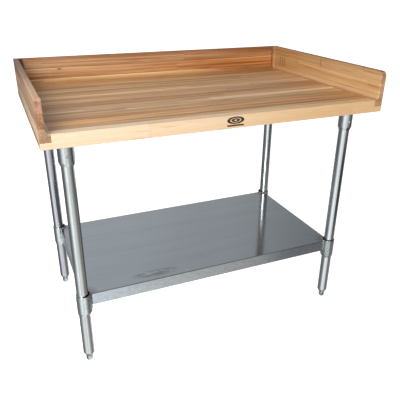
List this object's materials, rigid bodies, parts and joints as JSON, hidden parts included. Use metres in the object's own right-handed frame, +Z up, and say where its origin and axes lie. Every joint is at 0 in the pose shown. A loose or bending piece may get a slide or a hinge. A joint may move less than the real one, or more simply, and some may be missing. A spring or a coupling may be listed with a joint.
{
  "type": "butcher block table",
  "caption": "Wooden block work table with coved risers on three sides, on round steel legs with an adjustable steel shelf and screw feet.",
  "frame": {"origin": "on the floor under the middle of the top", "axes": "+X to the right seen from the front, +Y to the back riser, +Z up"},
  "size_m": [1.2192, 0.762, 1.016],
  "materials": {
    "maple_pale": "oiled, satin, straight grain",
    "maple_light": "oiled, satin, straight grain",
    "maple_mid": "oiled, satin, straight grain",
    "maple_warm": "oiled, satin, straight grain",
    "maple_dark": "oiled, satin, straight grain",
    "maple_amber": "oiled, satin, straight grain",
    "maple_golden": "oiled, satin, straight grain",
    "leg_steel": "bright drawn tube",
    "cast_socket": "bright cast, slightly mottled",
    "leg_end": "bright turned",
    "foot_steel": "bright turned",
    "screw_steel": "zinc plated",
    "rail_steel": "galvanised sheet",
    "shelf_steel": "brushed sheet"
  },
  "bodies": {
    "table": {"stave_01": "maple_pale", "stave_02": "maple_mid", "stave_03": "maple_warm", "stave_04": "maple_mid", "stave_05": "maple_light", "stave_06": "maple_mid", "stave_07": "maple_light", "stave_08": "maple_warm", "stave_09": "maple_mid", "stave_10": "maple_light", "stave_11": "maple_mid", "stave_12": "maple_light", "stave_13": "maple_mid", "stave_14": "maple_warm", "stave_15": "maple_light", "stave_16": "maple_mid", "stave_17": "maple_mid", "stave_18": "maple_dark", "stave_19": "maple_warm", "stave_20": "maple_dark", "riser_back_lower": "maple_dark", "riser_back_middle": "maple_amber", "riser_back_upper": "maple_amber", "riser_left_lower": "maple_warm", "riser_left_middle": "maple_warm", "riser_left_upper": "maple_mid", "riser_right_lower": "maple_golden", "riser_right_middle": "maple_golden", "riser_right_upper": "maple_golden", "cross_rail_left": "rail_steel", "cross_rail_right": "rail_steel", "rail_wood_screws": "screw_steel", "leg_front_left": "leg_steel", "upper_socket_front_left": "cast_socket", "leg_insert_front_left": "leg_end", "leg_front_right": "leg_steel", "upper_socket_front_right": "cast_socket", "leg_insert_front_right": "leg_end", "leg_back_left": "leg_steel", "upper_socket_back_left": "cast_socket", "leg_insert_back_left": "leg_end", "leg_back_right": "leg_steel", "upper_socket_back_right": "cast_socket", "leg_insert_back_right": "leg_end", "socket_set_screws": "screw_steel"},
    "shelf": {"shelf_pan": "shelf_steel", "shelf_stiffener": "rail_steel", "sleeve_set_screws": "screw_steel", "shelf_sleeve_front_left": "cast_socket", "shelf_sleeve_front_right": "cast_socket", "shelf_sleeve_back_left": "cast_socket", "shelf_sleeve_back_right": "cast_socket"},
    "stud_front_left": {"foot_stud_front_left": "screw_steel"},
    "tip_front_left": {"foot_tip_front_left": "foot_steel"},
    "stud_front_right": {"foot_stud_front_right": "screw_steel"},
    "tip_front_right": {"foot_tip_front_right": "foot_steel"},
    "stud_back_left": {"foot_stud_back_left": "screw_steel"},
    "tip_back_left": {"foot_tip_back_left": "foot_steel"},
    "stud_back_right": {"foot_stud_back_right": "screw_steel"},
    "tip_back_right": {"foot_tip_back_right": "foot_steel"}
  },
  "joints": [
    {"name": "shelf_height", "type": "slide", "parent": "table", "child": "shelf", "axis": [0, 0, 1], "range_m": [-0.16, 0.48]},
    {"name": "foot_travel_front_left", "type": "slide", "parent": "table", "child": "stud_front_left", "axis": [0, 0, -1], "range_m": [0, 0.0254]},
    {"name": "foot_turn_front_left", "type": "hinge", "parent": "stud_front_left", "child": "tip_front_left", "pos_m": [-0.5296, -0.2886, 0.012], "axis": [0, 0, -1], "range_deg": [0, 3960]},
    {"name": "foot_travel_front_right", "type": "slide", "parent": "table", "child": "stud_front_right", "axis": [0, 0, -1], "range_m": [0, 0.0254]},
    {"name": "foot_turn_front_right", "type": "hinge", "parent": "stud_front_right", "child": "tip_front_right", "pos_m": [0.5296, -0.2886, 0.012], "axis": [0, 0, -1], "range_deg": [0, 3960]},
    {"name": "foot_travel_back_left", "type": "slide", "parent": "table", "child": "stud_back_left", "axis": [0, 0, -1], "range_m": [0, 0.0254]},
    {"name": "foot_turn_back_left", "type": "hinge", "parent": "stud_back_left", "child": "tip_back_left", "pos_m": [-0.5296, 0.2723, 0.012], "axis": [0, 0, -1], "range_deg": [0, 3960]},
    {"name": "foot_travel_back_right", "type": "slide", "parent": "table", "child": "stud_back_right", "axis": [0, 0, -1], "range_m": [0, 0.0254]},
    {"name": "foot_turn_back_right", "type": "hinge", "parent": "stud_back_right", "child": "tip_back_right", "pos_m": [0.5296, 0.2723, 0.012], "axis": [0, 0, -1], "range_deg": [0, 3960]}
  ],
  "couplings": [
    {"joint": "foot_turn_front_left", "follows": "foot_travel_front_left", "rad_per_m": 2721},
    {"joint": "foot_turn_front_right", "follows": "foot_travel_front_right", "rad_per_m": 2721},
    {"joint": "foot_turn_back_left", "follows": "foot_travel_back_left", "rad_per_m": 2721},
    {"joint": "foot_turn_back_right", "follows": "foot_travel_back_right", "rad_per_m": 2721}
  ]
}
